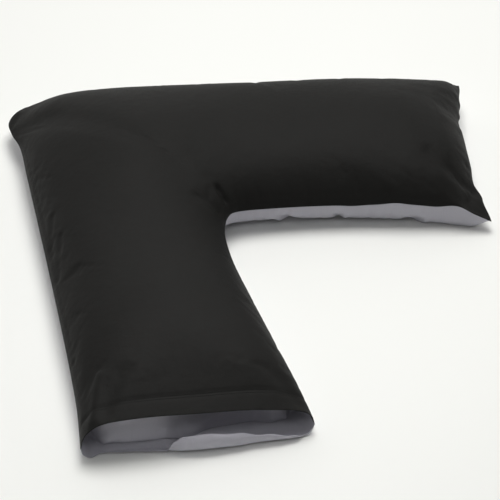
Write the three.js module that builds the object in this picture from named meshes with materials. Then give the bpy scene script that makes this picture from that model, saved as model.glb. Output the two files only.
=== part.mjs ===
// A V-shaped support pillow in a two-colour cotton case, lying on its back.
// The front of the case is black and the back is grey. The case is sewn shut all round except at the end of the near
// leg, where the black hem and the grey lip stand open and a tucked-in grey flap covers the end of the filling.
//
// All tables are in millimetres, measured from the outer corner of the V: x runs out along the far leg, y is negative
// along the near leg, and z is the height over the surface that the pillow lies on.
import * as THREE from 'three';

// Driving dimensions
const restPoint = { x: 165, y: -155 };
const seamLayer = 1.5;
const pieceGap = 0.3;
const mouthCloth = 2.4;
const hemDepth = 26;
const hemStep = 0.8;
const flapThickness = 1.6;
const flapClear = 0.7;
const flapTrim = 2.5;
const flapSetBack = 40;
const endFade = 130;

// Fineness of the surfaces
const rowPitch = 16.5;
const cells = 22;
const columnCrowding = 0.75;
const lipSteps = 5;

// Sections across the pillow, from the rim of the open end, round the corner, to the sewn end.
// outer and inner are points on the two side seams. crown is how far the filled top stands over the seams, shoulder how
// far in from a seam the top keeps climbing. under and tuck are how far in from the outer and from the inner seam the
// back panel meets the surface below.
const sections = [
  { outer: [20, -752, 22], inner: [376, -752, 17], crown: 44, shoulder: 48, under: 22, tuck: 22 },
  { outer: [22, -724, 26], inner: [370, -724, 23], crown: 50, shoulder: 64, under: 28, tuck: 28 },
  { outer: [24, -690, 33], inner: [362, -690, 31], crown: 58, shoulder: 92, under: 38, tuck: 38 },
  { outer: [24, -620, 42], inner: [346, -620, 42], crown: 69, shoulder: 140, under: 52, tuck: 52 },
  { outer: [22, -520, 46], inner: [327, -520, 47], crown: 78, shoulder: 175, under: 60, tuck: 60 },
  { outer: [19, -400, 46], inner: [310, -415, 48], crown: 82, shoulder: 195, under: 62, tuck: 62 },
  { outer: [15, -270, 46], inner: [307, -352, 49], crown: 84, shoulder: 205, under: 62, tuck: 62 },
  { outer: [11, -150, 45], inner: [309, -335, 50], crown: 86, shoulder: 210, under: 62, tuck: 62 },
  { outer: [8, -68, 43], inner: [312, -324, 51], crown: 87, shoulder: 210, under: 60, tuck: 62 },
  { outer: [-1, -26, 38], inner: [315, -316, 52], crown: 87, shoulder: 210, under: 60, tuck: 62 },
  { outer: [-2, 9, 36], inner: [319, -309, 52], crown: 87, shoulder: 210, under: 60, tuck: 60 },
  { outer: [18, 31, 41], inner: [325, -302, 52], crown: 87, shoulder: 210, under: 60, tuck: 58 },
  { outer: [70, 36, 45], inner: [334, -298, 51], crown: 87, shoulder: 210, under: 60, tuck: 55 },
  { outer: [180, 28, 46], inner: [352, -296, 50], crown: 86, shoulder: 205, under: 62, tuck: 52 },
  { outer: [310, 17, 46], inner: [390, -297, 49], crown: 84, shoulder: 200, under: 62, tuck: 46 },
  { outer: [440, 6, 46], inner: [450, -301, 48], crown: 82, shoulder: 195, under: 62, tuck: 40 },
  { outer: [560, -8, 46], inner: [550, -314, 48], crown: 80, shoulder: 190, under: 62, tuck: 31 },
  { outer: [650, -22, 46], inner: [632, -329, 48], crown: 77, shoulder: 205, under: 60, tuck: 18 },
  { outer: [708, -30, 46], inner: [690, -341, 47.5], crown: 66, shoulder: 225, under: 56, tuck: 7 },
  { outer: [737, -33, 46], inner: [715, -350, 35], crown: 59, shoulder: 165, under: 54, tuck: 9 },
  { outer: [763, -36, 45], inner: [744, -360, 22], crown: 54, shoulder: 110, under: 52, tuck: 10 },
];

// The sewn end between its two corners: how far it is drawn in from a straight line, how far it is held up over it, and
// how far in from it the top keeps climbing.
const sewnEnd = [
  { across: 0, drawnIn: 0, lift: 0, shoulder: 50 },
  { across: 0.14, drawnIn: 6, lift: 3, shoulder: 75 },
  { across: 0.24, drawnIn: 12, lift: 6, shoulder: 100 },
  { across: 0.32, drawnIn: 18, lift: 10, shoulder: 115 },
  { across: 0.48, drawnIn: 16, lift: 14, shoulder: 120 },
  { across: 0.64, drawnIn: 16, lift: 16, shoulder: 120 },
  { across: 0.76, drawnIn: 18, lift: 15, shoulder: 120 },
  { across: 0.87, drawnIn: 8, lift: 9, shoulder: 120 },
  { across: 1, drawnIn: 0, lift: 0, shoulder: 120 },
];

// Corners of the case that the filling does not reach: flat ears of cloth. inward points from the tip to the filling,
// reach is how far the ear stays flat, and over how far the case fills up over from there.
const ears = [
  { tip: [-2, 9], inward: [0.9, -0.44], front: { reach: 20, over: 70 }, back: { reach: 22, over: 62 } },
  { tip: [763, -36], inward: [-0.95, -0.31], front: { reach: 1, over: 30 }, back: { reach: 8, over: 50 } },
  { tip: [744, -360], inward: [-0.84, 0.55], front: { reach: 46, over: 60 }, back: { reach: 0, over: 36 } },
];

// Soft troughs and, where the depth is negative, ridges.
const creases = [
  { panel: 'front', from: [322, -304], to: [296, -262], width: 9, depth: 6 },
  { panel: 'front', from: [312, -322], to: [272, -306], width: 9, depth: 4 },
  { panel: 'front', from: [44, -738], to: [62, -668], width: 9, depth: -4 },
  { panel: 'front', from: [64, -735], to: [90, -672], width: 12, depth: 3 },
  { panel: 'front', from: [352, -735], to: [318, -684], width: 12, depth: 3 },
  { panel: 'front', from: [704, -300], to: [660, -262], width: 16, depth: 4 },
  { panel: 'front', from: [30, -230], to: [46, -330], width: 10, depth: 2.5 },
  { panel: 'front', from: [34, -356], to: [52, -420], width: 10, depth: 2.5 },
  { panel: 'front', from: [150, 12], to: [250, 2], width: 9, depth: 2 },
  { panel: 'back', from: [408, -298], to: [440, -268], width: 9, depth: 5 },
  { panel: 'back', from: [503, -307], to: [508, -276], width: 8, depth: 7 },
  { panel: 'back', from: [634, -331], to: [604, -292], width: 9, depth: 6 },
  { panel: 'back', from: [20, -330], to: [60, -322], width: 9, depth: 5 },
  { panel: 'back', from: [22, -520], to: [62, -530], width: 9, depth: 5 },
  { panel: 'back', from: [240, 22], to: [236, -18], width: 9, depth: 5 },
];

// Places where the side seam waves up or down.
const seamWaves = [
  { at: [524, -310], radius: 20, height: -2 },
  { at: [592, -321], radius: 20, height: 3.5 },
  { at: [659, -335], radius: 22, height: -4 },
];

// Broad unevenness of the filling under the black front.
const lumps = [
  { at: [150, -120], radius: 130, height: 5 },
  { at: [210, -250], radius: 110, height: 4 },
  { at: [430, -140], radius: 90, height: -4 },
  { at: [590, -150], radius: 100, height: 3 },
  { at: [170, -430], radius: 90, height: -3 },
  { at: [190, -560], radius: 100, height: 2 },
  { at: [350, -752], radius: 60, height: -12 },
  { at: [115, -756], radius: 82, height: 6.5 },
];

// The grey lip of the open end, across the mouth: where its last stretch begins, how long that stretch is, how far it
// is rolled up, in degrees, and how far its rim hovers. It lies open at the left and rolls up towards the right.
const lip = [
  { across: 0, from: -744, length: 9, roll: 0, lift: 0 },
  { across: 0.03, from: -742, length: 11, roll: 0, lift: 0 },
  { across: 0.1, from: -738, length: 12, roll: 0, lift: 6 },
  { across: 0.2, from: -738, length: 16, roll: 0, lift: 6 },
  { across: 0.3, from: -739, length: 20, roll: 3, lift: 5 },
  { across: 0.36, from: -744, length: 19, roll: 10, lift: 4 },
  { across: 0.39, from: -752, length: 31, roll: 128, lift: 0 },
  { across: 0.43, from: -754, length: 44, roll: 146, lift: 0 },
  { across: 0.52, from: -754.5, length: 49, roll: 140, lift: 0 },
  { across: 0.65, from: -757, length: 41.5, roll: 140, lift: 0 },
  { across: 0.78, from: -756, length: 30, roll: 115, lift: 0 },
  { across: 0.9, from: -756, length: 22, roll: 80, lift: 0 },
  { across: 0.96, from: -750, length: 12, roll: 10, lift: 0 },
  { across: 1, from: -748, length: 8, roll: 0, lift: 0 },
];

// How far the end of the filling bulges forward at its foot, across the mouth.
const fillingEnd = [
  { across: 0, bulge: 0 },
  { across: 0.035, bulge: 0 },
  { across: 0.13, bulge: 20 },
  { across: 0.22, bulge: 24 },
  { across: 0.35, bulge: 25 },
  { across: 0.46, bulge: 22 },
  { across: 0.6, bulge: 9 },
  { across: 0.75, bulge: 6 },
  { across: 0.84, bulge: 13 },
  { across: 0.9, bulge: 10 },
  { across: 0.955, bulge: 0 },
  { across: 1, bulge: 0 },
];
const bulgePower = 1.3;

// Small tools
const { clamp, lerp, degToRad, smootherstep } = THREE.MathUtils;
const point = (x, y, z) => new THREE.Vector3(x, y, z);
const ease = (t) => smootherstep(t, 0, 1);
const dome = (t) => (t <= 0 ? 0 : t >= 1 ? 1 : Math.sqrt(1 - (1 - t) ** 2));
const rounded = (t) => 1 - (1 - clamp(t, 0, 1)) ** 2;
const shares = (count) => Array.from({ length: count + 1 }, (_, i) => i / count);

// A value from a table, eased between its rows
function tableValue(table, column, across) {
  const next = table.findIndex((row) => row.across >= across);
  if (next <= 0) return table[next < 0 ? table.length - 1 : 0][column];
  const [a, b] = [table[next - 1], table[next]];
  return lerp(a[column], b[column], ease((across - a.across) / (b.across - a.across)));
}

// Side seams. A row is a section number, with parts of one in between.
const lastRow = sections.length - 1;
const cornerRow = 10;
const seamCurve = (side) => new THREE.CatmullRomCurve3(sections.map((s) => point(...s[side])));
const outerSeam = seamCurve('outer');
const innerSeam = seamCurve('inner');

function sectionAt(row) {
  const i = Math.min(Math.floor(row), lastRow - 1);
  const sized = (name) => lerp(sections[i][name], sections[i + 1][name], row - i);
  return {
    outer: outerSeam.getPoint(row / lastRow),
    inner: innerSeam.getPoint(row / lastRow),
    crown: sized('crown'),
    shoulder: sized('shoulder'),
    under: sized('under'),
    tuck: sized('tuck'),
  };
}

// A place on the sheet in the middle of the pillow, which both side seams lie on. seam is its height.
function place(row, across) {
  const s = sectionAt(row);
  const p = s.outer.clone().lerp(s.inner, across);
  const pull = row > lastRow - 5 ? ease(1 - p.distanceTo(straightEnd(across)) / endFade) : 0;
  return {
    x: p.x - pull * tableValue(sewnEnd, 'drawnIn', across),
    y: p.y,
    seam: p.z + pull * tableValue(sewnEnd, 'lift', across) + heaped(seamWaves, p),
    crown: s.crown,
    shoulder: s.shoulder,
    under: s.under,
    tuck: s.tuck,
    across,
    sewn: across <= 0 || across >= 1 || row >= lastRow,
  };
}

// The summed height of soft round heaps at a place
function heaped(heaps, p) {
  return heaps.reduce((sum, heap) => {
    const away = Math.hypot(p.x - heap.at[0], p.y - heap.at[1]) / heap.radius;
    return sum + heap.height * Math.exp(-away * away);
  }, 0);
}

function straightEnd(across) {
  const end = sections[lastRow];
  return point(...end.outer).lerp(point(...end.inner), across);
}

// Rows are spaced evenly along the outer seam.
function evenRows() {
  const rows = [];
  for (let i = 0; i < lastRow; i++) {
    const length = outerSeam.getPoint(i / lastRow).distanceTo(outerSeam.getPoint((i + 1) / lastRow));
    const steps = Math.max(1, Math.round(length / rowPitch));
    for (let k = 0; k < steps; k++) rows.push(i + k / steps);
  }
  return [...rows, lastRow];
}

// The row that runs across at a given y near the open end
function rowAt(y) {
  let [low, high] = [0, 3];
  for (let i = 0; i < 40; i++) {
    const half = (low + high) / 2;
    if (outerSeam.getPoint(half / lastRow).y < y) low = half;
    else high = half;
  }
  return (low + high) / 2;
}

// Columns crowd towards both side seams, where the cloth curves most. Beside each seam the mouth has a narrow flange.
const crowded = (t) => lerp(t, (1 - Math.cos(Math.PI * t)) / 2, columnCrowding);
const columns = shares(cells).map(crowded);
const flange = 0.0068;
const innerColumns = columns.slice(1, -1);
const mouthColumns = [0, flange, ...innerColumns, 1 - flange, 1];
const hiddenColumns = shares(4);
const inFlange = (across) => across < 1.5 * flange || across > 1 - 1.5 * flange;

const rimY = sections[0].outer[1];
const stitchRow = rowAt(rimY + hemDepth);
const flapRow = rowAt(rimY + flapSetBack);
const rows = evenRows();

// Seam lines in plan, to measure distances from
const beyondMouth = 80;
function seamLine(from, to, across) {
  const steps = Math.ceil((to - from) * 6);
  return shares(steps).map((t) => place(lerp(from, to, t), across));
}
const pastMouth = (line) => [{ x: line[0].x, y: line[0].y - beyondMouth }, ...line];
const seamLines = {
  left: pastMouth(seamLine(0, cornerRow, 0)),
  back: seamLine(cornerRow, lastRow, 0),
  inner: pastMouth(seamLine(0, lastRow, 1)),
  end: columns.map((across) => place(lastRow, across)),
};

function distanceTo(line, p) {
  let nearest = Infinity;
  for (let i = 1; i < line.length; i++) {
    const [a, b] = [line[i - 1], line[i]];
    const [dx, dy] = [b.x - a.x, b.y - a.y];
    const t = clamp(((p.x - a.x) * dx + (p.y - a.y) * dy) / (dx * dx + dy * dy), 0, 1);
    nearest = Math.min(nearest, Math.hypot(p.x - a.x - t * dx, p.y - a.y - t * dy));
  }
  return nearest;
}

// How full the case is at a place, from 0 on a seam to 1 well inside. over gives the distance it fills up over from
// each seam.
function fullness(p, over, panel) {
  if (p.sewn) return 0;
  const side = Object.keys(seamLines).map((name) => dome(distanceTo(seamLines[name], p) / over[name]));
  const ear = ears.map((e) => {
    const inwards = (p.x - e.tip[0]) * e.inward[0] + (p.y - e.tip[1]) * e.inward[1];
    return rounded((inwards - e[panel].reach) / e[panel].over);
  });
  return [...side, ...ear].reduce((a, b) => a * b, 1);
}

function frontHeight(p) {
  const over = { left: p.shoulder, back: p.shoulder, inner: p.shoulder, end: tableValue(sewnEnd, 'shoulder', p.across) };
  const full = fullness(p, over, 'front');
  const hem = p.y < rimY + hemDepth ? hemStep : 0;
  return p.seam + seamLayer + full * (p.crown + heaped(lumps, p) + hem);
}

function backHeight(p) {
  const over = { left: p.under, back: p.under, inner: p.tuck, end: lerp(p.under, p.tuck + 10, p.across) };
  return (p.seam - seamLayer) * (1 - fullness(p, over, 'back'));
}

// The outside of a panel. A crease presses the cloth in along its own normal, and fades out at the seams.
function panelPoint(panel, row, across) {
  const p = place(row, across);
  const height = panel === 'front' ? frontHeight : backHeight;
  const q = point(p.x, p.y, height(p));
  const depth = creaseDepth(panel, p);
  if (p.sewn || Math.abs(depth) < 0.05) return q;
  const slopeX = (height({ ...p, x: p.x + 1 }) - height({ ...p, x: p.x - 1 })) / 2;
  const slopeY = (height({ ...p, y: p.y + 1 }) - height({ ...p, y: p.y - 1 })) / 2;
  const inward = point(slopeX, slopeY, -1).normalize();
  q.addScaledVector(inward, panel === 'front' ? depth : -depth);
  q.z = Math.max(q.z, 0);
  return q;
}

function creaseDepth(panel, p) {
  const pressed = creases.filter((c) => c.panel === panel).reduce((sum, c) => {
    const away = distanceTo([point(...c.from, 0), point(...c.to, 0)], p) / c.width;
    return sum + c.depth * Math.exp(-away * away);
  }, 0);
  const toSeam = Math.min(...Object.values(seamLines).map((line) => distanceTo(line, p)));
  return pressed * ease(toSeam / 9);
}

// Where the two halves of the filled pillow meet. side is 1 for the front half and -1 for the back half.
const sideOf = (panel) => (panel === 'front' ? 1 : -1);
function meetingPoint(panel, row, across) {
  const p = place(row, across);
  return point(p.x, p.y, p.seam + (sideOf(panel) * pieceGap) / 2);
}

// The inside of the cloth at the open end: the outside moved in by the cloth's thickness. In the flange beside a side
// seam the two cloths lie on each other.
function mouthInside(panel, row, across) {
  const seamSide = across < 0.5 ? 0 : 1;
  if (inFlange(across)) {
    const q = meetingPoint(panel, row, seamSide);
    q.x += flangeStep(across);
    return q;
  }
  const reach = 0.012;
  const run = panelPoint(panel, row, across + reach).sub(panelPoint(panel, row, across - reach));
  const up = point(-run.z, 0, run.x).normalize();
  return panelPoint(panel, row, across).addScaledVector(up, -sideOf(panel) * mouthCloth);
}

function flangeStep(across) {
  if (across <= 0 || across >= 1) return 0;
  return across < 0.5 ? mouthCloth : -mouthCloth;
}

// The end of the filling, from the ceiling of the mouth (down 0) to its floor (down 1)
const endBulge = (across, down) =>
  inFlange(across) ? 0 : tableValue(fillingEnd, 'bulge', across) * down ** bulgePower;
const wallTop = (across) => mouthInside('front', flapRow, across);
const wallFoot = (across) => mouthInside('back', rowAt(rimY + flapSetBack - endBulge(across, 1)), across);

function wallPoint(across, down) {
  const top = wallTop(across);
  const p = top.clone().lerp(wallFoot(across), down);
  p.y = top.y - endBulge(across, down);
  return p;
}

// How far down the wall the two halves of the filling meet
function meetingDown(across) {
  const [top, foot] = [wallTop(across).z, wallFoot(across).z];
  return (top - place(flapRow, across).seam) / (top - foot);
}

function wallMeeting(panel, across) {
  const p = wallPoint(across, meetingDown(across));
  p.z += (sideOf(panel) * pieceGap) / 2;
  return p;
}

// The five levels of the wall: ceiling, between, meeting, between, floor
const wallLevels = [
  () => 0,
  (across) => meetingDown(across) / 2,
  meetingDown,
  (across) => (1 + meetingDown(across)) / 2,
  () => 1,
];

// The outside of the grey lip. along runs from 0, where its last stretch begins, to 1 at the rim.
function lipOutside(across, along) {
  const length = tableValue(lip, 'length', across);
  const roll = degToRad(Math.max(0.5, tableValue(lip, 'roll', across)));
  const radius = length / roll;
  const y = tableValue(lip, 'from', across) - radius * Math.sin(roll * along);
  const p = place(rowAt(y), across);
  const lift = tableValue(lip, 'lift', across) * along * along;
  return point(p.x, y, backHeight(p) + radius * (1 - Math.cos(roll * along)) + lift);
}

function lipInside(across, along) {
  if (inFlange(across)) {
    const q = lipOutside(across < 0.5 ? 0 : 1, along);
    return q.add(point(flangeStep(across), 0, seamLayer - pieceGap / 2));
  }
  const reach = 0.012;
  const run = lipOutside(across + reach, along).sub(lipOutside(across - reach, along));
  const out = lipOutside(across, along + 0.02).sub(lipOutside(across, along - 0.02));
  return lipOutside(across, along).addScaledVector(out.cross(run).normalize(), mouthCloth);
}

// A closed solid, sewn together from lines of points across the pillow. A line knows its row along the side seams, and
// each of its points its place across.
class Solid {
  constructor() {
    this.coordinates = [];
    this.triangles = [];
  }

  vertex(p) {
    this.coordinates.push(p.x, p.y, p.z);
    return this.coordinates.length / 3 - 1;
  }

  line(row, acrosses, pointAt) {
    return { row, points: acrosses.map((across) => ({ at: across, index: this.vertex(pointAt(across)) })) };
  }

  // A line on the wall of the mouth starts and ends on the flange points of the line above or below it.
  wallLine(from, pointAt) {
    const points = from.points.map((p) => (inFlange(p.at) ? p : { at: p.at, index: this.vertex(pointAt(p.at)) }));
    return { row: from.row, points };
  }

  triangle(corners, turned) {
    const [a, b, c] = corners;
    if (a === b || b === c || c === a) return;
    this.triangles.push(...(turned ? [c, b, a] : [a, b, c]));
  }

  distance(a, b) {
    const corner = (p) => point(...this.coordinates.slice(3 * p.index, 3 * p.index + 3));
    return corner(a).distanceTo(corner(b));
  }

  // Which of two runs goes on first from a pair of points: the one whose next point is nearer along the runs, or
  // between equals the one that gives the shorter diagonal.
  firstIsNext(a, nextA, b, nextB) {
    if (!nextA || !nextB) return !nextB;
    if (nextA.at !== nextB.at) return nextA.at < nextB.at;
    return this.distance(nextA, b) < this.distance(a, nextB) + 0.01;
  }

  // Joins two runs of points, which may hold different numbers of them.
  zip(a, b, turned) {
    let [i, j] = [0, 0];
    while (i < a.length - 1 || j < b.length - 1) {
      const stepA = this.firstIsNext(a[i], a[i + 1], b[j], b[j + 1]);
      this.triangle([a[i].index, (stepA ? a[i + 1] : b[j + 1]).index, b[j].index], turned);
      if (stepA) i++;
      else j++;
    }
  }

  cover(lines, turned) {
    lines.slice(1).forEach((line, i) => this.zip(lines[i].points, line.points, turned));
  }

  // Closes the space between the upper and the lower lines, along both side seams and at both ends.
  enclose(upper, lower) {
    this.cover(upper, false);
    this.cover(lower, true);
    const edge = (lines, end) => lines.map((line) => ({ at: line.row, index: line.points.at(end).index }));
    this.zip(edge(upper, 0), edge(lower, 0), false);
    this.zip(edge(upper, -1), edge(lower, -1), true);
    this.zip(upper[0].points, lower[0].points, true);
    this.zip(upper.at(-1).points, lower.at(-1).points, false);
  }

  mesh(name, material) {
    const geometry = new THREE.BufferGeometry();
    geometry.setAttribute('position', new THREE.Float32BufferAttribute(this.coordinates, 3));
    geometry.setIndex(this.triangles);
    geometry.computeVertexNormals();
    const mesh = new THREE.Mesh(geometry, material);
    mesh.name = name;
    return mesh;
  }
}

// The lines where a half meets the other one, behind the wall of the mouth
function meetingLines(solid, panel) {
  const fullFrom = lastRow - 2.6;
  const behind = rows.filter((row) => row > flapRow + 0.4);
  return behind.map((row) => {
    const acrosses = row > fullFrom ? columns : hiddenColumns;
    return solid.line(row, acrosses, (across) => meetingPoint(panel, row, across));
  });
}

// Black front panel, with the upper half of the filling behind it and its hem standing open in front
function frontPanel(material) {
  const solid = new Solid();
  const stitchGap = 0.06;
  const spaced = rows.filter((row) => Math.abs(row - stitchRow) > 3 * stitchGap);
  const outsideRows = [...spaced, stitchRow - stitchGap, stitchRow + stitchGap].sort((a, b) => a - b);
  const outside = outsideRows.map((row) => solid.line(row, columns, (u) => panelPoint('front', row, u)));

  const hemRows = shares(4).map((t) => t * flapRow);
  const hem = hemRows.map((row) => solid.line(row, mouthColumns, (u) => mouthInside('front', row, u)));
  const halfWay = solid.wallLine(hem.at(-1), (u) => wallPoint(u, wallLevels[1](u)));
  const meeting = solid.wallLine(hem.at(-1), (u) => wallMeeting('front', u));
  solid.enclose(outside, [...hem, halfWay, meeting, ...meetingLines(solid, 'front')]);
  return solid.mesh('front_panel', material);
}

// Grey back panel, with the lower half of the filling behind it and its lip standing open in front
function backPanel(material) {
  const solid = new Solid();
  const lipShares = shares(lipSteps).reverse();
  const lipRow = (along) => rowAt(lipOutside(0, along).y);
  const outsideRows = [rowAt(rimY + 20), ...rows.filter((row) => row >= 1)];
  const outside = [
    ...lipShares.map((along) => solid.line(lipRow(along), columns, (u) => lipOutside(u, along))),
    ...outsideRows.map((row) => solid.line(row, columns, (u) => panelPoint('back', row, u))),
  ];

  const inside = lipShares.map((along) => solid.line(lipRow(along), mouthColumns, (u) => lipInside(u, along)));
  const floorBetween = (u) => mouthInside('back', rowAt((lipOutside(u, 0).y + wallFoot(u).y) / 2), u);
  const floor = [
    solid.line(rowAt(rimY + 25), mouthColumns, floorBetween),
    solid.line(flapRow, mouthColumns, (u) => wallFoot(u)),
  ];
  const halfWay = solid.wallLine(floor[1], (u) => wallPoint(u, wallLevels[3](u)));
  const meeting = solid.wallLine(floor[1], (u) => wallMeeting('back', u));
  solid.enclose([...inside, ...floor, halfWay, meeting, ...meetingLines(solid, 'back')], outside);
  return solid.mesh('back_panel', material);
}

// Grey flap, tucked in over the end of the filling
function endFlap(material) {
  const solid = new Solid();
  const level = (i, across) => {
    const p = wallPoint(across, wallLevels[i](across));
    const trimTo = { 0: 1, 4: 3 }[i];
    if (trimTo === undefined) return p;
    const next = wallPoint(across, wallLevels[trimTo](across));
    return p.lerp(next, flapTrim / p.distanceTo(next));
  };
  const face = (forward) =>
    wallLevels.map((_, i) => solid.line(i, innerColumns, (u) => level(i, u).sub(point(0, forward, 0))));
  solid.enclose(face(flapClear), face(flapClear + flapThickness));
  return solid.mesh('end_flap', material);
}

const cloth = (color) => new THREE.MeshStandardMaterial({ color, roughness: 0.85, metalness: 0 });
const black = cloth(0x2c2c2b);
const grey = cloth(0x9c9ba2);

const pillow = new THREE.Group();
pillow.name = 'v_shaped_pillow';
pillow.add(frontPanel(black), backPanel(grey), endFlap(grey));
pillow.position.set(-restPoint.x, -restPoint.y, 0);

export default pillow;
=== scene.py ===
# A V-shaped support pillow in a black and grey cotton case, lying on its back on a pale floor.
# The tables are in millimetres, measured from the outer corner of the V: x runs out along the far leg,
# y is negative along the near leg, and z is the height over the floor.
import math
import random

import bpy
import numpy as np
from mathutils import Matrix


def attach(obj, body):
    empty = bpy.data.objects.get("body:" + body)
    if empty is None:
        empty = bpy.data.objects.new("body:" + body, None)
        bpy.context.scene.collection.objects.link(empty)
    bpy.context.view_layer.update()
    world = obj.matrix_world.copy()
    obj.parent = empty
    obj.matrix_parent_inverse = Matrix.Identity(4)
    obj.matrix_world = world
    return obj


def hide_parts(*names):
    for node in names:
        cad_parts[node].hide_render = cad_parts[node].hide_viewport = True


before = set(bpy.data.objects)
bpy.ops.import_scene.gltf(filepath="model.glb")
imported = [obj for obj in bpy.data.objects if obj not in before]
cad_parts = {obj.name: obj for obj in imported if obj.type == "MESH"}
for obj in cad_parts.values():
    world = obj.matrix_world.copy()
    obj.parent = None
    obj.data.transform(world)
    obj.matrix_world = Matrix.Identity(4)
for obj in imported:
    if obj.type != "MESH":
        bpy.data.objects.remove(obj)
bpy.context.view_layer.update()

MM = 0.001
REST_POINT = np.array([165.0, -155.0, 0.0])

# Sections from the open end round the corner to the sewn end: the points of both side seams, the crown's
# height over them, and how far in from a seam the front (shoulder) and the back (under, tuck) are filled out
SECTIONS = [
    dict(outer=(20, -752, 22), inner=(376, -752, 17), crown=44, shoulder=48, under=22, tuck=22),
    dict(outer=(22, -724, 26), inner=(370, -724, 23), crown=50, shoulder=64, under=28, tuck=28),
    dict(outer=(24, -690, 33), inner=(362, -690, 31), crown=58, shoulder=92, under=38, tuck=38),
    dict(outer=(24, -620, 42), inner=(346, -620, 42), crown=69, shoulder=140, under=52, tuck=52),
    dict(outer=(22, -520, 46), inner=(327, -520, 47), crown=78, shoulder=175, under=60, tuck=60),
    dict(outer=(19, -400, 46), inner=(310, -415, 48), crown=82, shoulder=195, under=62, tuck=62),
    dict(outer=(15, -270, 46), inner=(307, -352, 49), crown=84, shoulder=205, under=62, tuck=62),
    dict(outer=(11, -150, 45), inner=(309, -335, 50), crown=86, shoulder=210, under=62, tuck=62),
    dict(outer=(8, -68, 43), inner=(312, -324, 51), crown=87, shoulder=210, under=60, tuck=62),
    dict(outer=(-1, -26, 38), inner=(315, -316, 52), crown=87, shoulder=210, under=60, tuck=62),
    dict(outer=(-2, 9, 36), inner=(319, -309, 52), crown=87, shoulder=210, under=60, tuck=60),
    dict(outer=(18, 31, 41), inner=(325, -302, 52), crown=87, shoulder=210, under=60, tuck=58),
    dict(outer=(70, 36, 45), inner=(334, -298, 51), crown=87, shoulder=210, under=60, tuck=55),
    dict(outer=(180, 28, 46), inner=(352, -296, 50), crown=86, shoulder=205, under=62, tuck=52),
    dict(outer=(310, 17, 46), inner=(390, -297, 49), crown=84, shoulder=200, under=62, tuck=46),
    dict(outer=(440, 6, 46), inner=(450, -301, 48), crown=82, shoulder=195, under=62, tuck=40),
    dict(outer=(560, -8, 46), inner=(550, -314, 48), crown=80, shoulder=190, under=62, tuck=31),
    dict(outer=(650, -22, 46), inner=(632, -329, 48), crown=77, shoulder=205, under=60, tuck=18),
    dict(outer=(708, -30, 46), inner=(690, -341, 47.5), crown=66, shoulder=225, under=56, tuck=7),
    dict(outer=(737, -33, 46), inner=(715, -350, 35), crown=59, shoulder=165, under=54, tuck=9),
    dict(outer=(763, -36, 45), inner=(744, -360, 22), crown=54, shoulder=110, under=52, tuck=10),
]
LAST_ROW = len(SECTIONS) - 1
CORNER_ROW = 10

# The sewn end, from its outer to its inner corner
SEWN_END = [
    dict(across=0, drawn_in=0, lift=0, shoulder=50),
    dict(across=0.14, drawn_in=6, lift=3, shoulder=75),
    dict(across=0.24, drawn_in=12, lift=6, shoulder=100),
    dict(across=0.32, drawn_in=18, lift=10, shoulder=115),
    dict(across=0.48, drawn_in=16, lift=14, shoulder=120),
    dict(across=0.64, drawn_in=16, lift=16, shoulder=120),
    dict(across=0.76, drawn_in=18, lift=15, shoulder=120),
    dict(across=0.87, drawn_in=8, lift=9, shoulder=120),
    dict(across=1, drawn_in=0, lift=0, shoulder=120),
]
END_FADE = 130
END_SECTIONS = 5
END_EXTRA_TUCK = 10

# Corners of the case that the filling doesn't reach: each panel is flat up to its first length in from the
# tip, and is filled out over its second
EARS = [
    dict(tip=(-2, 9), inward=(0.9, -0.44), front=(2, 86), back=(22, 62)),
    dict(tip=(763, -36), inward=(-0.95, -0.31), front=(1, 30), back=(8, 50)),
    dict(tip=(744, -360), inward=(-0.84, 0.55), front=(46, 60), back=(0, 36)),
]

# Creases that are pressed into a panel, and ridges, whose depth is negative
CREASES = [
    dict(panel="front", start=(323, -305), end=(309, -283), width=5.5, depth=7),
    dict(panel="front", start=(312, -322), end=(272, -306), width=9, depth=4),
    dict(panel="front", start=(44, -738), end=(62, -668), width=9, depth=-4),
    dict(panel="front", start=(64, -735), end=(90, -672), width=12, depth=3),
    dict(panel="front", start=(352, -735), end=(318, -684), width=12, depth=3),
    dict(panel="front", start=(704, -300), end=(660, -262), width=16, depth=4),
    dict(panel="front", start=(20, -365), end=(34, -292), width=5, depth=2.5),
    dict(panel="front", start=(24, -425), end=(42, -345), width=5, depth=2.2),
    dict(panel="front", start=(150, 12), end=(250, 2), width=9, depth=2),
    dict(panel="back", start=(408, -298), end=(440, -268), width=9, depth=5),
    dict(panel="back", start=(396, -296), end=(424, -262), width=6, depth=-3),
    dict(panel="back", start=(520, -309), end=(498, -280), width=6, depth=-3),
    dict(panel="back", start=(648, -333), end=(622, -296), width=6, depth=-3),
    dict(panel="back", start=(503, -307), end=(508, -276), width=8, depth=7),
    dict(panel="back", start=(634, -331), end=(604, -292), width=9, depth=6),
    dict(panel="back", start=(20, -330), end=(60, -322), width=9, depth=5),
    dict(panel="back", start=(22, -520), end=(62, -530), width=9, depth=5),
    dict(panel="back", start=(240, 22), end=(236, -18), width=9, depth=5),
]
CREASE_FADE = 9

# Places where the inner seam waves up or down, and uneven places in the filling
SEAM_WAVES = [
    dict(at=(524, -310), radius=20, height=-2),
    dict(at=(592, -321), radius=20, height=3.5),
    dict(at=(659, -335), radius=22, height=-4),
]
LUMPS = [
    dict(at=(150, -120), radius=130, height=5),
    dict(at=(210, -250), radius=110, height=4),
    dict(at=(430, -140), radius=90, height=-4),
    dict(at=(590, -150), radius=100, height=3),
    dict(at=(170, -430), radius=90, height=-3),
    dict(at=(190, -560), radius=100, height=2),
    dict(at=(350, -752), radius=60, height=-12),
    dict(at=(115, -756), radius=82, height=6.5),
]

# Cloth and its seams
CLOTH = 1.5
SEAM_LAYER = 1.2
SEAM_ROUNDING = 5.0
RIM_Y = -752
HEM_DEPTH = 26

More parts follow.
